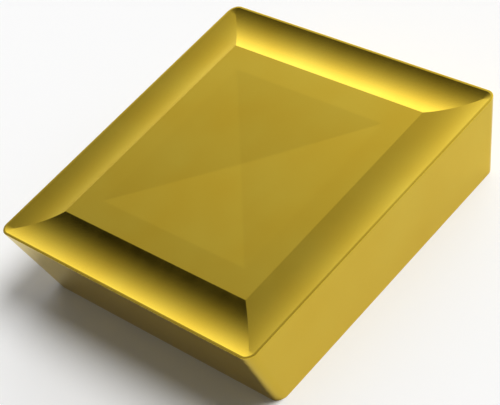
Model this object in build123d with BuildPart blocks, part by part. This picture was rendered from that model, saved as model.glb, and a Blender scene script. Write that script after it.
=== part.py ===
"""Square turning insert with a moulded chip groove, clamped from above (no hole).

One sintered carbide solid.  Units are millimetres, +Z is up, and the origin is the
centre of the ground seat, the flat face that the insert rests on.
"""

import os
from math import hypot, sqrt

from build123d import *

# Driving dimensions: the standard 12.7 mm square, 3.18 mm thick, 11 degree relief size.
INSCRIBED_CIRCLE = 12.7  # across opposite cutting edges
THICKNESS = 3.175  # from the seat to the cutting edges
RELIEF_ANGLE = 11.0  # how far every flank leans in below its edge, degrees
NOSE_RADIUS = 0.4  # rounding of the four cutting corners
HONE_RADIUS = 0.02  # rounding of the cutting edge itself

# Chip groove, measured inwards from a cutting edge.
RIM_WIDTH = 0.09  # flat land behind the cutting edge
GROOVE_END = 1.81  # where the groove meets the central land
GROOVE_RADIUS = 2.5  # radius of the groove's section
LAND_RISE = 0.05  # central land above the cutting edges

# Very shallow four-sided dish in the middle of the land.
DISH_SIDE = 7.1
DISH_DEPTH = 0.062

CUTTER_CLEARANCE = 1.0  # how far the groove's cutter stands above the insert

# Worked out from the dimensions above.
half_top = INSCRIBED_CIRCLE / 2
nose_centre = half_top - NOSE_RADIUS
land_height = THICKNESS + LAND_RISE
land_side = INSCRIBED_CIRCLE - 2 * GROOVE_END
groove_chord = hypot(GROOVE_END - RIM_WIDTH, LAND_RISE)
groove_depth = GROOVE_RADIUS - sqrt(GROOVE_RADIUS**2 - groove_chord**2 / 4)

# Section of the groove's cutter on the -Y side: an arc below, open above.
with BuildSketch(Plane.YZ) as groove_section:
    rim_edge = (-half_top + RIM_WIDTH, THICKNESS)
    land_edge = (-half_top + GROOVE_END, land_height)
    cutter_top = land_height + CUTTER_CLEARANCE
    with BuildLine():
        SagittaArc(rim_edge, land_edge, -groove_depth)
        Polyline(land_edge, (land_edge[0], cutter_top), (rim_edge[0], cutter_top), rim_edge)
    make_face()

# Square path through the centres of the noses, which the groove's cutter follows.
with BuildLine(Plane.XY.offset(THICKNESS)) as groove_path:
    Polyline(
        (0, -nose_centre),
        (nose_centre, -nose_centre),
        (nose_centre, nose_centre),
        (-nose_centre, nose_centre),
        (-nose_centre, -nose_centre),
        close=True,
    )

with BuildPart() as insert_body:
    # Blank: a square block with its four flanks ground back below the cutting edges.
    with BuildSketch(Plane.XY):
        Rectangle(INSCRIBED_CIRCLE, INSCRIBED_CIRCLE)
    extrude(amount=THICKNESS)
    flanks = insert_body.faces().filter_by(Axis.Z, reverse=True)
    draft(flanks, neutral_plane=Plane.XY.offset(THICKNESS), angle=-RELIEF_ANGLE)

    # The noses run the whole height of the flanks at one radius.
    flank_corners = insert_body.edges().filter_by(
        lambda edge: edge.bounding_box().size.Z > THICKNESS / 2
    )
    fillet(flank_corners, NOSE_RADIUS)

    # Hone along the cutting edge, all the way round.
    fillet(insert_body.faces().sort_by(Axis.Z)[-1].edges(), HONE_RADIUS)

    # Stock for the central land, which ends inside the groove that is cut next.
    with BuildSketch(Plane.XY.offset(THICKNESS)):
        Rectangle(land_side + GROOVE_END, land_side + GROOVE_END)
    extrude(amount=LAND_RISE)

    # Groove: outside the path the section swings round each nose as a ring, and
    # inside the path the four straight troughs meet in mitres.
    nose_plane = Plane.XZ.offset(nose_centre)
    whole = groove_section.sketch
    outer = split(whole, bisect_by=nose_plane, keep=Keep.TOP, mode=Mode.PRIVATE)
    inner = split(whole, bisect_by=nose_plane, keep=Keep.BOTTOM, mode=Mode.PRIVATE)
    sweep(outer, path=groove_path.wire(), transition=Transition.ROUND, mode=Mode.SUBTRACT)
    sweep(inner, path=groove_path.wire(), transition=Transition.RIGHT, mode=Mode.SUBTRACT)

    # Dish: an upside-down pyramid, about one degree steep.
    with BuildSketch(Plane.XY.offset(land_height)) as dish_rim:
        Rectangle(DISH_SIDE, DISH_SIDE)
    dish_bottom = Vertex(0, 0, land_height - DISH_DEPTH)
    loft(sections=[dish_rim.sketch.face(), dish_bottom], mode=Mode.SUBTRACT)

insert_body.part.label = "insert_body"

os.makedirs("parts", exist_ok=True)
export_step(insert_body.part, "parts/insert_body.step")
print("groove depth below its chord", round(groove_depth, 4))
print("volume mm3", round(insert_body.part.volume, 3), "valid", insert_body.part.is_valid)
print("faces", len(insert_body.faces()))
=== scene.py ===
# %% [markdown]
# # A square carbide turning insert
#
# The insert is one small block of sintered tungsten carbide, 12.7 mm square and 3.2 mm
# thick.  Its four flanks lean in by 11 degrees, a round-bottomed chip groove runs
# behind all four cutting edges, and the whole block wears a thin gold coating of
# titanium nitride.  The imported model is loaded first as a fixed frame, and its box is
# kept.

# %% Load the frame
from math import cos, pi, radians, sin, tan

import bmesh
import bpy
from mathutils import Matrix, Vector


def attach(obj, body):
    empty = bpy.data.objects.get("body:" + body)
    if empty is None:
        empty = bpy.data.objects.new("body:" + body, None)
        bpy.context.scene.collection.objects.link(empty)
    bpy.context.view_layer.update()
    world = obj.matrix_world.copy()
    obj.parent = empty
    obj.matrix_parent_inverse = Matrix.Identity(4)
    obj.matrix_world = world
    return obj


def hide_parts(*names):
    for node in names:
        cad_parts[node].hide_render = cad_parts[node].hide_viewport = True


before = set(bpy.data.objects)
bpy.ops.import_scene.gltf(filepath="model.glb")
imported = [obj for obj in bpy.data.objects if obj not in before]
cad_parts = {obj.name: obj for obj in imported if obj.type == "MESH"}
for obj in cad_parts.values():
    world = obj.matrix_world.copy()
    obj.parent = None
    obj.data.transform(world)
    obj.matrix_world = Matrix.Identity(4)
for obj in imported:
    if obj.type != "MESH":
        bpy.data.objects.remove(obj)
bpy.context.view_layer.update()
MM = 0.001

# %% [markdown]
# ## Sizes
#
# These are the insert's own sizes in millimetres.  The first group is a standard one.
# The second describes the groove, whose section is a single arc between a very narrow
# rim and the flat land in the middle, and the third a dish so shallow that it only
# shows as four faint triangles.

# %% Sizes of the insert, in millimetres
INSCRIBED_CIRCLE = 12.7
THICKNESS = 3.175
RELIEF_ANGLE = 11.0
NOSE_RADIUS = 0.4
HONE_RADIUS = 0.02

RIM_WIDTH = 0.09
GROOVE_END = 1.81
GROOVE_RADIUS = 2.5
LAND_RISE = 0.05

DISH_SIDE = 7.1
DISH_DEPTH = 0.062
print("insert", INSCRIBED_CIRCLE, "mm square,", THICKNESS, "mm thick")

# %% [markdown]
# ## A small calculator for node trees
#
# A Geometry Nodes tree is easier to read when its sums look like sums.  This class
# keeps one tree and gives its Math nodes short names, so that the section below can be
# written almost as it would be on paper.


# %% Helpers that add nodes
class Sums:
    """Adds Math nodes to one tree; every value is a socket or a plain number."""

    def __init__(self, tree):
        self.tree = tree

    def node(self, kind, **settings):
        made = self.tree.nodes.new(kind)
        for name, value in settings.items():
            setattr(made, name, value)
        return made

    def feed(self, socket, value):
        if isinstance(value, bpy.types.NodeSocket):
            self.tree.links.new(value, socket)
        else:
            socket.default_value = value

    def do(self, operation, *values):
        made = self.node("ShaderNodeMath", operation=operation)
        for socket, value in zip(made.inputs, values):
            self.feed(socket, value)
        return made.outputs[0]

    def add(self, a, b):
        return self.do("ADD", a, b)

    def take(self, a, b):
        return self.do("SUBTRACT", a, b)

    def times(self, a, b):
        return self.do("MULTIPLY", a, b)

    def over(self, a, b):
        return self.do("DIVIDE", a, b)

    def vector(self, x, y, z):
        made = self.node("ShaderNodeCombineXYZ")
        for socket, value in zip(made.inputs, (x, y, z)):
            self.feed(socket, value)
        return made.outputs[0]

    def parts(self, vector):
        made = self.node("ShaderNodeSeparateXYZ")
        self.feed(made.inputs[0], vector)
        return made.outputs


print("calculator ready")

# %% [markdown]
# ## The insert as one rule
#
# Seen from above, every level of this insert is the same figure: a square with rounded
# corners.  Only its half width, its height and the place of its corner centres change,
# and they follow a half section drawn from the middle of the seat, out and up the
# flank, over the honed edge, down through the groove and in to the middle of the dish.
# It could be cut with booleans or pulled by hand, but the rule gives clean rings, exact
# tangents and true mitres, so the shape is grown by Geometry Nodes:
#
# 1. short runs of points draw the half section;
# 2. a grid gets one row for each section point and one column for each point round a
#    ring, and each of its points is set in place by the rule;
# 3. points that fall together, along the mitres and in the middle, are merged;
# 4. the creases are marked, so that each face is shaded by itself.
#
# Outside the nose centres a ring keeps them and its radius shrinks, which turns the
# groove round the corner.  Inside them the radius is nothing, and the rings meet in a
# mitre.

# %% Inputs of the insert tree
INPUTS = {
    "Half width": INSCRIBED_CIRCLE / 2 * MM,
    "Thickness": THICKNESS * MM,
    "Relief angle": radians(RELIEF_ANGLE),
    "Nose radius": NOSE_RADIUS * MM,
    "Hone radius": HONE_RADIUS * MM,
    "Hone setback": HONE_RADIUS / tan(radians(90 - RELIEF_ANGLE) / 2) * MM,
    "Rim width": RIM_WIDTH * MM,
    "Groove end": GROOVE_END * MM,
    "Groove radius": GROOVE_RADIUS * MM,
    "Land rise": LAND_RISE * MM,
    "Dish half side": DISH_SIDE / 2 * MM,
    "Dish depth": DISH_DEPTH * MM,
    "Nose segments": 24,
    "Groove steps": 64,
}
MATERIAL_INPUTS = ("Top finish", "Flank finish", "Seat finish")

tree = bpy.data.node_groups.new("insert_rings", "GeometryNodeTree")


def add_socket(name, kind, in_out="INPUT"):
    """Gives the tree one more input or output."""
    return tree.interface.new_socket(
        name, in_out=in_out, socket_type="NodeSocket" + kind
    )


add_socket("Geometry", "Geometry", "OUTPUT")
add_socket("Geometry", "Geometry")
for name, value in INPUTS.items():
    kind = "Int" if isinstance(value, int) else "Float"
    add_socket(name, kind).default_value = value
for name in MATERIAL_INPUTS:
    add_socket(name, "Material")
do = Sums(tree)
given = do.node("NodeGroupInput").outputs
print("tree inputs:", ", ".join(INPUTS))

# %% [markdown]
# ### The half section
#
# A run is a row of points from one place up to, but not including, the next one.  Each
# point holds three numbers: the ring's half width, how far the nose centres have moved
# in from their place at the cutting edge, and the height.  A run may start on a crease.
# The two curved runs, the hone and the groove, start as straight rows and are bent onto
# their circles.

# %% Runs of section points
index = do.node("GeometryNodeInputIndex").outputs[0]
HALF_A_POINT = 0.5  # whole numbers nearer than this are the same one


def same_number(a, b):
    """1 where two whole numbers are equal, and 0 elsewhere."""
    return do.do("COMPARE", a, b, HALF_A_POINT)


def mark(points, name, value):
    """Keeps a number on every point under a name."""
    store = do.node(
        "GeometryNodeStoreNamedAttribute", data_type="FLOAT", domain="POINT"
    )
    do.feed(store.inputs["Geometry"], points)
    store.inputs["Name"].default_value = name
    do.feed(store.inputs["Value"], value)
    return store.outputs[0]


def run(start, end, steps=1, crease=False, bend=None):
    """Points from start towards end, both (half width, nose shift, height)."""
    row = do.node("GeometryNodeMeshLine", mode="OFFSET")
    do.feed(row.inputs["Count"], steps)
    do.feed(row.inputs["Start Location"], do.vector(*start))
    stride = [do.over(do.take(b, a), steps) for a, b in zip(start, end)]
    do.feed(row.inputs["Offset"], do.vector(*stride))
    points = row.outputs[0]
    if bend:
        place = do.node("GeometryNodeSetPosition")
        do.feed(place.inputs["Geometry"], points)
        here = do.node("GeometryNodeInputPosition").outputs[0]
        do.feed(place.inputs["Position"], do.vector(*bend(*do.parts(here))))
        points = place.outputs[0]
    return mark(points, "crease", same_number(index, 0.0) if crease else 0.0)


half = given["Half width"]
rim_height = given["Thickness"]
setback = given["Hone setback"]
lean_cos = do.do("COSINE", given["Relief angle"])
lean_sin = do.do("SINE", given["Relief angle"])


def on_flank(distance):
    """A section point on the flank, that far down from the sharp edge."""
    shift = do.times(distance, lean_sin)
    height = do.take(rim_height, do.times(distance, lean_cos))
    return do.take(half, shift), shift, height


def on_rim(distance):
    """A section point on the flat rim, that far in from the sharp edge."""
    return do.take(half, distance), 0.0, rim_height


BELOW_HONE, BESIDE_HONE = 3.0, 1.5  # extra points, in setbacks from the sharp edge
seat_edge = on_flank(do.over(rim_height, lean_cos))
hone_start = on_flank(setback)
below_hone = on_flank(do.times(setback, BELOW_HONE))
hone_end = on_rim(setback)
beside_hone = on_rim(do.times(setback, BESIDE_HONE))
rim_end = on_rim(given["Rim width"])
print("section helpers ready")

# %% [markdown]
# ### Hone and groove
#
# The hone is a quarter-turn and a little more of a tiny circle, so its run counts the
# angle, and is then bent into place.  The groove's circle is found from its two ends
# and its radius: its centre stands above the middle of the chord.

# %% The two curved runs
HONE_STEPS, NOSE_STEPS = 8, 12
hone_axis = hone_end[0]
hone_height = do.take(rim_height, given["Hone radius"])


def bend_hone(turn, shift, _):
    """Angle from the horizontal, made a place on the hone's circle."""
    reach = do.add(hone_axis, do.times(given["Hone radius"], do.do("COSINE", turn)))
    rise = do.add(hone_height, do.times(given["Hone radius"], do.do("SINE", turn)))
    return reach, shift, rise


hone_turn_start = (do.times(given["Relief angle"], -1.0), hone_start[1], 0.0)
hone_turn_end = (pi / 2, 0.0, 0.0)
hone = run(hone_turn_start, hone_turn_end, HONE_STEPS, bend=bend_hone)


def squared(value):
    """A number times itself."""
    return do.times(value, value)


chord_run = do.take(given["Groove end"], given["Rim width"])
chord_rise = given["Land rise"]
chord_squared = do.add(squared(chord_run), squared(chord_rise))
chord = do.do("SQRT", chord_squared)
radius_squared = squared(given["Groove radius"])
stand = do.do("SQRT", do.take(radius_squared, do.over(chord_squared, 4.0)))
middle_in = do.over(do.add(given["Rim width"], given["Groove end"]), 2.0)
centre_in = do.take(middle_in, do.times(stand, do.over(chord_rise, chord)))
centre_half = do.take(half, centre_in)
middle_up = do.add(rim_height, do.over(chord_rise, 2.0))
centre_up = do.add(middle_up, do.times(stand, do.over(chord_run, chord)))


def bend_groove(reach, shift, _):
    """Drops a point onto the groove's circle."""
    across = do.take(reach, centre_half)
    drop = do.do("SQRT", do.take(radius_squared, squared(across)))
    return reach, shift, do.take(centre_up, drop)


nose_centre = do.take(half, given["Nose radius"])
land_edge = do.take(half, given["Groove end"])
land_height = do.add(rim_height, given["Land rise"])
mitre_start, mitre_end = (nose_centre, 0.0, 0.0), (land_edge, 0.0, 0.0)
nose_part = run(rim_end, mitre_start, NOSE_STEPS, crease=True, bend=bend_groove)
mitre_part = run(mitre_start, mitre_end, given["Groove steps"], bend=bend_groove)
print("hone turns", 90 + RELIEF_ANGLE, "degrees")

# %% [markdown]
# ### The whole section in order
#
# All runs are strung together.  The short extra runs beside the hone hold the shading
# of the flat faces flat, because a smooth normal is shared only between neighbours.

# %% String the runs together
dish_middle = (0.0, 0.0, do.take(land_height, given["Dish depth"]))
dish_edge = (given["Dish half side"], 0.0, land_height)
runs = [
    run((0.0, seat_edge[1], 0.0), seat_edge),
    run(seat_edge, below_hone, crease=True),
    run(below_hone, hone_start),
    hone,
    run(hone_end, beside_hone),
    run(beside_hone, rim_end),
    nose_part,
    mitre_part,
    run((land_edge, 0.0, land_height), dish_edge, crease=True),
    run(dish_edge, dish_middle, crease=True),
    run(dish_middle, (0.0, 0.0, 0.0)),
]
section = do.node("GeometryNodeJoinGeometry")
for piece in reversed(runs):
    tree.links.new(piece, section.inputs[0])
section = section.outputs[0]
count = do.node("GeometryNodeAttributeDomainSize", component="MESH")
do.feed(count.inputs[0], section)
section_points = count.outputs["Point Count"]
print("runs in the section:", len(runs))

# %% [markdown]
# ### Rings from the section
#
# A grid's points are numbered along its second side first, so dividing the number by
# the length of that side gives the section point, and the remainder the place round
# the ring.  Each quarter of a ring has one point on the straight before its nose, the
# nose's arc and one point on the straight after it.

# %% Place every grid point
nose_steps = given["Nose segments"]
quarter_points = do.add(nose_steps, 3)  # an arc has one point more than it has steps
ring_points = do.add(do.times(quarter_points, 4), 1)  # the last one closes the ring
grid = do.node("GeometryNodeMeshGrid")
do.feed(grid.inputs["Vertices X"], section_points)
do.feed(grid.inputs["Vertices Y"], ring_points)


def split(number, length):
    """How many whole lengths a number holds, and what is left over."""
    whole = do.do("FLOOR", do.over(do.add(number, HALF_A_POINT), length))
    return whole, do.take(number, do.times(whole, length))


level, along = split(index, ring_points)
quarter, step = split(along, quarter_points)


def of_section(data_type, value):
    """A section point's value, read for the grid point's own level."""
    sample = do.node("GeometryNodeSampleIndex", data_type=data_type, domain="POINT")
    do.feed(sample.inputs["Geometry"], section)
    do.feed(sample.inputs["Value"], value)
    do.feed(sample.inputs["Index"], level)
    return sample.outputs[0]


here = do.node("GeometryNodeInputPosition").outputs[0]
reach, shift, height = do.parts(of_section("FLOAT_VECTOR", here))
centre = do.do("MINIMUM", reach, do.take(nose_centre, shift))
corner_radius = do.take(reach, centre)
turn = do.node("ShaderNodeMapRange", clamp=True)
do.feed(turn.inputs["Value"], step)
turn.inputs["From Min"].default_value = 1.0
do.feed(turn.inputs["From Max"], do.add(nose_steps, 1))
turn.inputs["To Max"].default_value = pi / 2
turn = turn.outputs[0]

STRAIGHT_BY = 0.15 * MM
slide = do.do("MINIMUM", STRAIGHT_BY, do.over(centre, 2.0))
before = do.times(slide, same_number(step, 0.0))
after = do.times(slide, same_number(step, do.add(nose_steps, 2)))
arc_x = do.times(corner_radius, do.do("COSINE", turn))
arc_y = do.times(corner_radius, do.do("SINE", turn))
local_x = do.take(do.add(centre, arc_x), after)
local_y = do.take(do.add(centre, arc_y), before)
spun = do.node("ShaderNodeVectorRotate", rotation_type="Z_AXIS")
do.feed(spun.inputs["Vector"], do.vector(local_x, local_y, height))
do.feed(spun.inputs["Angle"], do.times(quarter, pi / 2))
print("one ring is four noses and four straights")

# %% [markdown]
# ### Creases, closing and finishes
#
# The mitre is wherever a ring has no corner radius and the point lies on the diagonal.
# An edge is a crease when both its ends are marked.  The three finishes are told apart
# by the way a face looks: up, out or down.

# %% Creases and merge
MITRE_WITHIN, MERGE_WITHIN = 1e-7, 2e-7
BOTH_ENDS = 0.99  # an edge reads the mean of its ends, which is 1 only for two marks


def marked(name):
    """The number that mark() kept under that name."""
    field = do.node("GeometryNodeInputNamedAttribute", data_type="FLOAT")
    field.inputs["Name"].default_value = name
    return field.outputs[0]


off_diagonal = do.do("ABSOLUTE", do.take(local_x, local_y))
on_mitre = do.do("LESS_THAN", do.add(off_diagonal, corner_radius), MITRE_WITHIN)
crease_here = of_section("FLOAT", marked("crease"))
body = mark(grid.outputs["Mesh"], "crease", crease_here)
body = mark(body, "mitre", on_mitre)

place = do.node("GeometryNodeSetPosition")
do.feed(place.inputs["Geometry"], body)
do.feed(place.inputs["Position"], spun.outputs[0])
merge = do.node("GeometryNodeMergeByDistance")
do.feed(merge.inputs["Geometry"], place.outputs[0])
merge.inputs["Distance"].default_value = MERGE_WITHIN
turned = do.node("GeometryNodeFlipFaces")
do.feed(turned.inputs["Mesh"], merge.outputs[0])
body = turned.outputs[0]

smooth = do.node("GeometryNodeSetShadeSmooth", domain="FACE")
do.feed(smooth.inputs["Geometry"], body)
body = smooth.outputs[0]
for name in ("crease", "mitre"):
    both_ends = do.do("GREATER_THAN", marked(name), BOTH_ENDS)
    sharp = do.node("GeometryNodeSetShadeSmooth", domain="EDGE")
    do.feed(sharp.inputs["Geometry"], body)
    do.feed(sharp.inputs["Selection"], both_ends)
    sharp.inputs["Shade Smooth"].default_value = False
    clean = do.node("GeometryNodeRemoveAttribute")
    do.feed(clean.inputs["Geometry"], sharp.outputs[0])
    clean.inputs["Name"].default_value = name
    body = clean.outputs[0]
print("points nearer than", MERGE_WITHIN / MM, "mm are merged")

# %% Real geometry and its finishes
real = do.node("GeometryNodeRealizeInstances")
do.feed(real.inputs["Geometry"], body)
body = real.outputs[0]
FACES_OUT, FACES_DOWN = 0.5, -0.5  # below these, a face's normal looks out or down
face_up = do.parts(do.node("GeometryNodeInputNormal").outputs[0])[2]
picks = (
    ("Top finish", None),
    ("Flank finish", do.do("LESS_THAN", face_up, FACES_OUT)),
    ("Seat finish", do.do("LESS_THAN", face_up, FACES_DOWN)),
)
for name, chosen in picks:
    finish = do.node("GeometryNodeSetMaterial")
    do.feed(finish.inputs["Geometry"], body)
    if chosen:
        do.feed(finish.inputs["Selection"], chosen)
    do.feed(finish.inputs["Material"], given[name])
    body = finish.outputs[0]
do.feed(do.node("NodeGroupOutput").inputs[0], body)
print("tree has", len(tree.nodes), "nodes")

# %% [markdown]
# ## The gold coating
#
# The coating is a layer of titanium nitride a few thousandths of a millimetre thick.
# A yellow paint with a gloss on it would look like plastic, because the real one
# mirrors light as a metal does.  So it is full metallic, a deep yellow for light that
# falls straight on it, and paler where the surface is seen at a grazing angle, with a
# specular tint that keeps the paler part golden.  The coating copies the surface below
# it, and that differs by face:
#
# * the top, with its groove, is left as pressed and sintered, with a very fine grain;
# * the flanks are ground with a wheel that leaves lines along the cutting edge;
# * the seat is ground flat, with straight lines across.
#
# The ground faces are a little smoother than the top, and their gold is painted darker
# as painted shade for the flanks and seat.  One function makes all three.  Colour and
# roughness drift slowly from place to place, and the bump is only a few tenths of a
# thousandth of a millimetre.

# %% Helpers for the coating
PER_MM = 1.0 / MM


class Paint(Sums):
    """The same short names for a material's tree."""

    def noise(self, stretch, scale, detail=2.0, roughness=0.5):
        """Noise on the piece's own coordinates; scale is waves per millimetre."""
        where = self.node("ShaderNodeTexCoord").outputs["Object"]
        mapping = self.node("ShaderNodeMapping")
        self.feed(mapping.inputs["Vector"], where)
        mapping.inputs["Scale"].default_value = [PER_MM * part for part in stretch]
        made = self.node("ShaderNodeTexNoise")
        self.feed(made.inputs["Vector"], mapping.outputs[0])
        made.inputs["Scale"].default_value = scale
        made.inputs["Detail"].default_value = detail
        made.inputs["Roughness"].default_value = roughness
        return made.outputs[0]

    def spread(self, value, low, high, start=0.3, end=0.7):
        """Stretches a noise value between two levels."""
        made = self.node("ShaderNodeMapRange", clamp=True)
        self.feed(made.inputs["Value"], value)
        names = ("From Min", "From Max", "To Min", "To Max")
        for name, number in zip(names, (start, end, low, high)):
            made.inputs[name].default_value = number
        return made.outputs[0]

    def blend(self, factor, first, second):
        made = self.node("ShaderNodeMix", data_type="RGBA")
        self.feed(made.inputs["Factor"], factor)
        made.inputs["A"].default_value = (*first, 1.0)
        made.inputs["B"].default_value = (*second, 1.0)
        return made.outputs["Result"]

    def bump(self, height, depth_mm, onto=None):
        """Adds a height pattern, given in millimetres, to the normal."""
        made = self.node("ShaderNodeBump")
        self.feed(made.inputs["Height"], height)
        made.inputs["Distance"].default_value = depth_mm * MM
        if onto:
            self.feed(made.inputs["Normal"], onto)
        return made.outputs[0]


print("patterns are counted in waves per millimetre")

# %% Tones of gold and the coating itself
EVEN = (1.0, 1.0, 1.0)
PRESSED_TONES = ((0.790, 0.535, 0.044), (0.815, 0.585, 0.060))
# The ground tones are painted darker than the pressed ones: painted shade for the
# flanks and seat.
GROUND_GOLD_WITH_PAINTED_SHADE = ((0.588, 0.403, 0.031), (0.610, 0.438, 0.042))
PRESSED_EDGE_TINT = (1.0, 1.0, 0.7)
GROUND_EDGE_TINT = (1.0, 0.98, 0.8)
TONE_WAVES, HAZE_WAVES = 0.35, 1.6  # per millimetre


def gold_coating(name, tones, edge_tint, roughness, marks):
    """One finish; each mark is (stretch, waves per mm, depth in mm)."""
    material = bpy.data.materials.new(name)
    material.use_nodes = True
    paint = Paint(material.node_tree)
    shader = material.node_tree.nodes["Principled BSDF"]
    shader.inputs["Metallic"].default_value = 1.0
    shader.inputs["Specular Tint"].default_value = (*edge_tint, 1.0)
    drift = paint.spread(paint.noise(EVEN, TONE_WAVES), 0.0, 1.0)
    paint.feed(shader.inputs["Base Color"], paint.blend(drift, *tones))
    haze = paint.spread(paint.noise(EVEN, HAZE_WAVES, detail=4.0), *roughness)
    paint.feed(shader.inputs["Roughness"], haze)
    normal = None
    for stretch, waves, depth in marks:
        normal = paint.bump(paint.noise(stretch, waves, detail=3.0), depth, normal)
    paint.feed(shader.inputs["Normal"], normal)
    print(name, "with", len(marks), "layers of surface marks")
    return material


# %% Three finishes of the same coating
pressed = gold_coating(
    "coating_on_pressed_top",
    PRESSED_TONES,
    PRESSED_EDGE_TINT,
    roughness=(0.21, 0.26),
    marks=((EVEN, 1.2, 0.0003), (EVEN, 7.0, 0.0001)),
)
ground = gold_coating(
    "coating_on_ground_flanks",
    GROUND_GOLD_WITH_PAINTED_SHADE,
    GROUND_EDGE_TINT,
    roughness=(0.17, 0.21),
    marks=(((0.05, 0.05, 1.0), 3.0, 0.0001), ((0.02, 0.02, 1.0), 11.0, 0.00003)),
)
seat = gold_coating(
    "coating_on_ground_seat",
    GROUND_GOLD_WITH_PAINTED_SHADE,
    GROUND_EDGE_TINT,
    roughness=(0.15, 0.19),
    marks=(((0.03, 1.0, 1.0), 3.0, 0.0001), ((0.01, 1.0, 1.0), 11.0, 0.00005)),
)

# %% [markdown]
# ## Grow the insert
#
# The tree goes on an empty mesh as a modifier.  Its inputs are set by their socket
# names inside the tree, the result is turned into a plain mesh, and the modifier goes
# away.  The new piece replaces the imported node, which stays for collision.

# %% Run the tree and keep its mesh
settings = {**INPUTS, **dict(zip(MATERIAL_INPUTS, (pressed, ground, seat)))}
seed = bpy.data.objects.new("seed", bpy.data.meshes.new("seed"))
bpy.context.scene.collection.objects.link(seed)
grower = seed.modifiers.new("rings", "NODES")
grower.node_group = tree
for socket in tree.interface.items_tree:
    if socket.in_out == "INPUT" and socket.name in settings:
        grower[socket.identifier] = settings[socket.name]
bpy.context.view_layer.update()
grown = seed.evaluated_get(bpy.context.evaluated_depsgraph_get())
mesh = bpy.data.meshes.new_from_object(grown)
mesh.name = "gold_insert"
mesh.materials.pop(index=0)  # the seed's empty place comes first
insert = bpy.data.objects.new("gold_insert", mesh)
bpy.context.scene.collection.objects.link(insert)
seed.modifiers.clear()
bpy.data.objects.remove(seed)

# %% Measure it
probe = bmesh.new()
probe.from_mesh(mesh)
open_edges = sum(not edge.is_manifold for edge in probe.edges)
volume = probe.calc_volume(signed=True) / MM**3
probe.free()
print("points:", len(mesh.vertices), "faces:", len(mesh.polygons))
print("open edges:", open_edges, "volume in mm3:", round(volume, 3))
print("finishes:", [finish.name for finish in mesh.materials])

# %% Put it in the frame
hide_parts("insert_body")
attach(insert, "root")
print(insert.name, "rides on the body root")

# %% [markdown]
# ## Floor
#
# The insert lies on a plain pale floor.  One large square is enough, because its edge
# then stays far off in any low view.  It is matt: a glossy floor would mirror the dome
# and break up the even white that the coating shows along its lower edges.

# %% Pale floor
FLOOR_HALF = 2.0
FLOOR_TONE = (0.94, 0.94, 0.94, 1.0)
FLOOR_CORNERS = ((-1, -1), (1, -1), (1, 1), (-1, 1))
floor_mesh = bpy.data.meshes.new("floor")
corners = [(x * FLOOR_HALF, y * FLOOR_HALF, 0.0) for x, y in FLOOR_CORNERS]
floor_mesh.from_pydata(corners, [], [(0, 1, 2, 3)])
floor = bpy.data.objects.new("floor", floor_mesh)
bpy.context.scene.collection.objects.link(floor)
pale = bpy.data.materials.new("pale_floor")
pale.use_nodes = True
pale_shader = pale.node_tree.nodes["Principled BSDF"]
pale_shader.inputs["Base Color"].default_value = FLOOR_TONE
pale_shader.inputs["Roughness"].default_value = 0.9
pale_shader.inputs["Specular IOR Level"].default_value = 0.0
floor_mesh.materials.append(pale)
print("floor", 2 * FLOOR_HALF, "m across")

# %% [markdown]
# ## Light: the dome
#
# A metal shows the room around it, so the room is a soft dome: dark on the side of the
# front flank, and brighter and brighter towards the far side, with a little more light
# near the horizon than overhead.  Area lamps would show in the coating as hard bright
# patches, while this slow change is what makes the groove's curve read.

# %% Soft dome
GLOW_REACHES = 0.205  # how far it comes over to the front side, in dome radii
GLOW_CURVE, GLOW_LEVEL, GLOW_LIMIT = 1.9, 2.56, 1.8
OVERHEAD_LOSS = 0.70
world = bpy.data.worlds.new("soft_dome")
bpy.context.scene.world = world
world.use_nodes = True
dome = Sums(world.node_tree)
background = world.node_tree.nodes["Background"]
direction = dome.node("ShaderNodeTexCoord").outputs["Generated"]
_, north, up = dome.parts(direction)
above = dome.do("MAXIMUM", up, 0.0)
lift = dome.do("MAXIMUM", dome.add(north, GLOW_REACHES), 0.0)
glow = dome.times(dome.do("POWER", lift, GLOW_CURVE), GLOW_LEVEL)
glow = dome.times(glow, dome.take(1.0, dome.times(above, OVERHEAD_LOSS)))
glow = dome.do("MINIMUM", glow, GLOW_LIMIT)
print("the dome glows down to", -GLOW_REACHES, "radii on the front side")

# %% [markdown]
# ## Light: three reflector cards
#
# With the dome alone, the top would go black for a viewer behind it.  Three weak fills
# work like a studio's reflector cards: a broad one on the front side, which the top
# mirrors to that viewer, a small one almost overhead, and a low band near the horizon.
# Cards are there for the metal, so the Light Path node shows them in full only to a
# glossy ray that hasn't touched the floor yet.  The floor gets a quarter of them, and
# stays in soft shadow beside the front flank.

# %% Cards in the dome


def ramp(value, start, end, level):
    """A soft step from nothing at start to a level at end."""
    made = dome.node("ShaderNodeMapRange", interpolation_type="SMOOTHSTEP", clamp=True)
    dome.feed(made.inputs["Value"], value)
    made.inputs["From Min"].default_value = start
    made.inputs["From Max"].default_value = end
    made.inputs["To Max"].default_value = level
    return made.outputs[0]


def toward(way):
    """How nearly a direction of the dome points that way: 1 is straight at it."""
    made = dome.node("ShaderNodeVectorMath", operation="DOT_PRODUCT")
    dome.feed(made.inputs[0], direction)
    made.inputs[1].default_value = Vector(way).normalized()
    return made.outputs["Value"]


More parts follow.
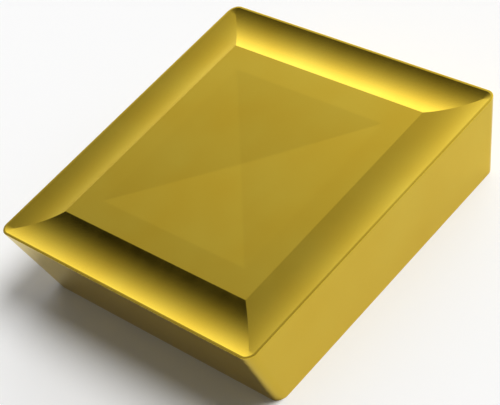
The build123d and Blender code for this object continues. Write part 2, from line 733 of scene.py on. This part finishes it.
BROAD_WAY, TOP_WAY = (0.25, -0.90, 0.35), (0.10, -0.25, 0.96)
BROAD_LEVEL, TOP_LEVEL, LOW_LEVEL = 0.62, 0.40, 0.25
CARD_ON_FLOOR = 0.26
broad_card = ramp(toward(BROAD_WAY), start=0.23, end=0.95, level=BROAD_LEVEL)
top_card = ramp(toward(TOP_WAY), start=0.88, end=0.97, level=TOP_LEVEL)
low_band = ramp(above, start=0.50, end=0.20, level=LOW_LEVEL)
low_card = dome.times(low_band, ramp(north, start=0.25, end=-0.05, level=1.0))
cards = dome.add(dome.add(broad_card, top_card), low_card)
path = dome.node("ShaderNodeLightPath").outputs
before_floor = dome.do("LESS_THAN", path["Diffuse Depth"], 0.5)
in_metal = dome.times(path["Is Glossy Ray"], before_floor)
seen = dome.add(CARD_ON_FLOOR, dome.times(in_metal, 1.0 - CARD_ON_FLOOR))
dome.feed(background.inputs["Strength"], dome.add(glow, dome.times(cards, seen)))
background.inputs["Color"].default_value = (1.0, 1.0, 1.0, 1.0)
print("dome nodes:", len(world.node_tree.nodes))

# %% [markdown]
# ## Light: a high sun
#
# A broad, high sun from the far right whitens the floor and draws a short soft shadow
# beside the front flank.  An area lamp could do it too, but a sun lights the whole
# floor evenly.  It is hidden from glossy rays, so that the metal shows only the dome,
# its cards and the floor.

# %% High sun for the floor
SUN_AZIMUTH, SUN_HEIGHT, SUN_SPREAD = radians(40), radians(56), radians(32)
SUN_LEVEL = 0.615
sun_data = bpy.data.lights.new("high_sun", "SUN")
sun_data.energy = SUN_LEVEL * pi / sin(SUN_HEIGHT)
sun_data.angle = SUN_SPREAD
sun = bpy.data.objects.new("high_sun", sun_data)
bpy.context.scene.collection.objects.link(sun)
sideways = cos(SUN_HEIGHT)
from_sun = Vector(
    (cos(SUN_AZIMUTH) * sideways, sin(SUN_AZIMUTH) * sideways, sin(SUN_HEIGHT))
)
sun.rotation_euler = from_sun.to_track_quat("Z", "Y").to_euler()
sun.visible_glossy = False
print("sun comes from", [round(part, 3) for part in from_sun])
print("sun strength", round(sun_data.energy, 2))

# %% [markdown]
# ## Camera
#
# A long lens keeps parallel edges nearly parallel on so small a thing.  It looks down
# at about 41 degrees, turned 30 degrees from the right-hand flank towards the front
# one, and the camera is rolled so that the insert stands on its corner.

# %% Camera
CAMERA_PLACE = Vector((40.3555, -23.0350, 41.7405)) * MM
AIM = Vector((0.0294, -0.3412, 1.6)) * MM
ROLL = radians(25.5717)
SENSOR_WIDTH, FOCAL_LENGTH = 36.0, 128.022
NEAREST, FARTHEST = 0.001, 10.0
camera_data = bpy.data.cameras.new("camera")
camera_data.sensor_width = SENSOR_WIDTH
camera_data.lens = FOCAL_LENGTH
camera_data.clip_start = NEAREST
camera_data.clip_end = FARTHEST
camera = bpy.data.objects.new("camera", camera_data)
bpy.context.scene.collection.objects.link(camera)
level_turn = (AIM - CAMERA_PLACE).to_track_quat("-Z", "Y").to_matrix().to_4x4()
camera.matrix_world = (
    Matrix.Translation(CAMERA_PLACE) @ level_turn @ Matrix.Rotation(-ROLL, 4, "Z")
)
bpy.context.scene.camera = camera
print("camera distance in mm", round((AIM - CAMERA_PLACE).length / MM, 2))

# %% [markdown]
# ## View
#
# Colours are shown as they are, with the Standard view.

# %% View setting
bpy.context.scene.view_settings.view_transform = "Standard"
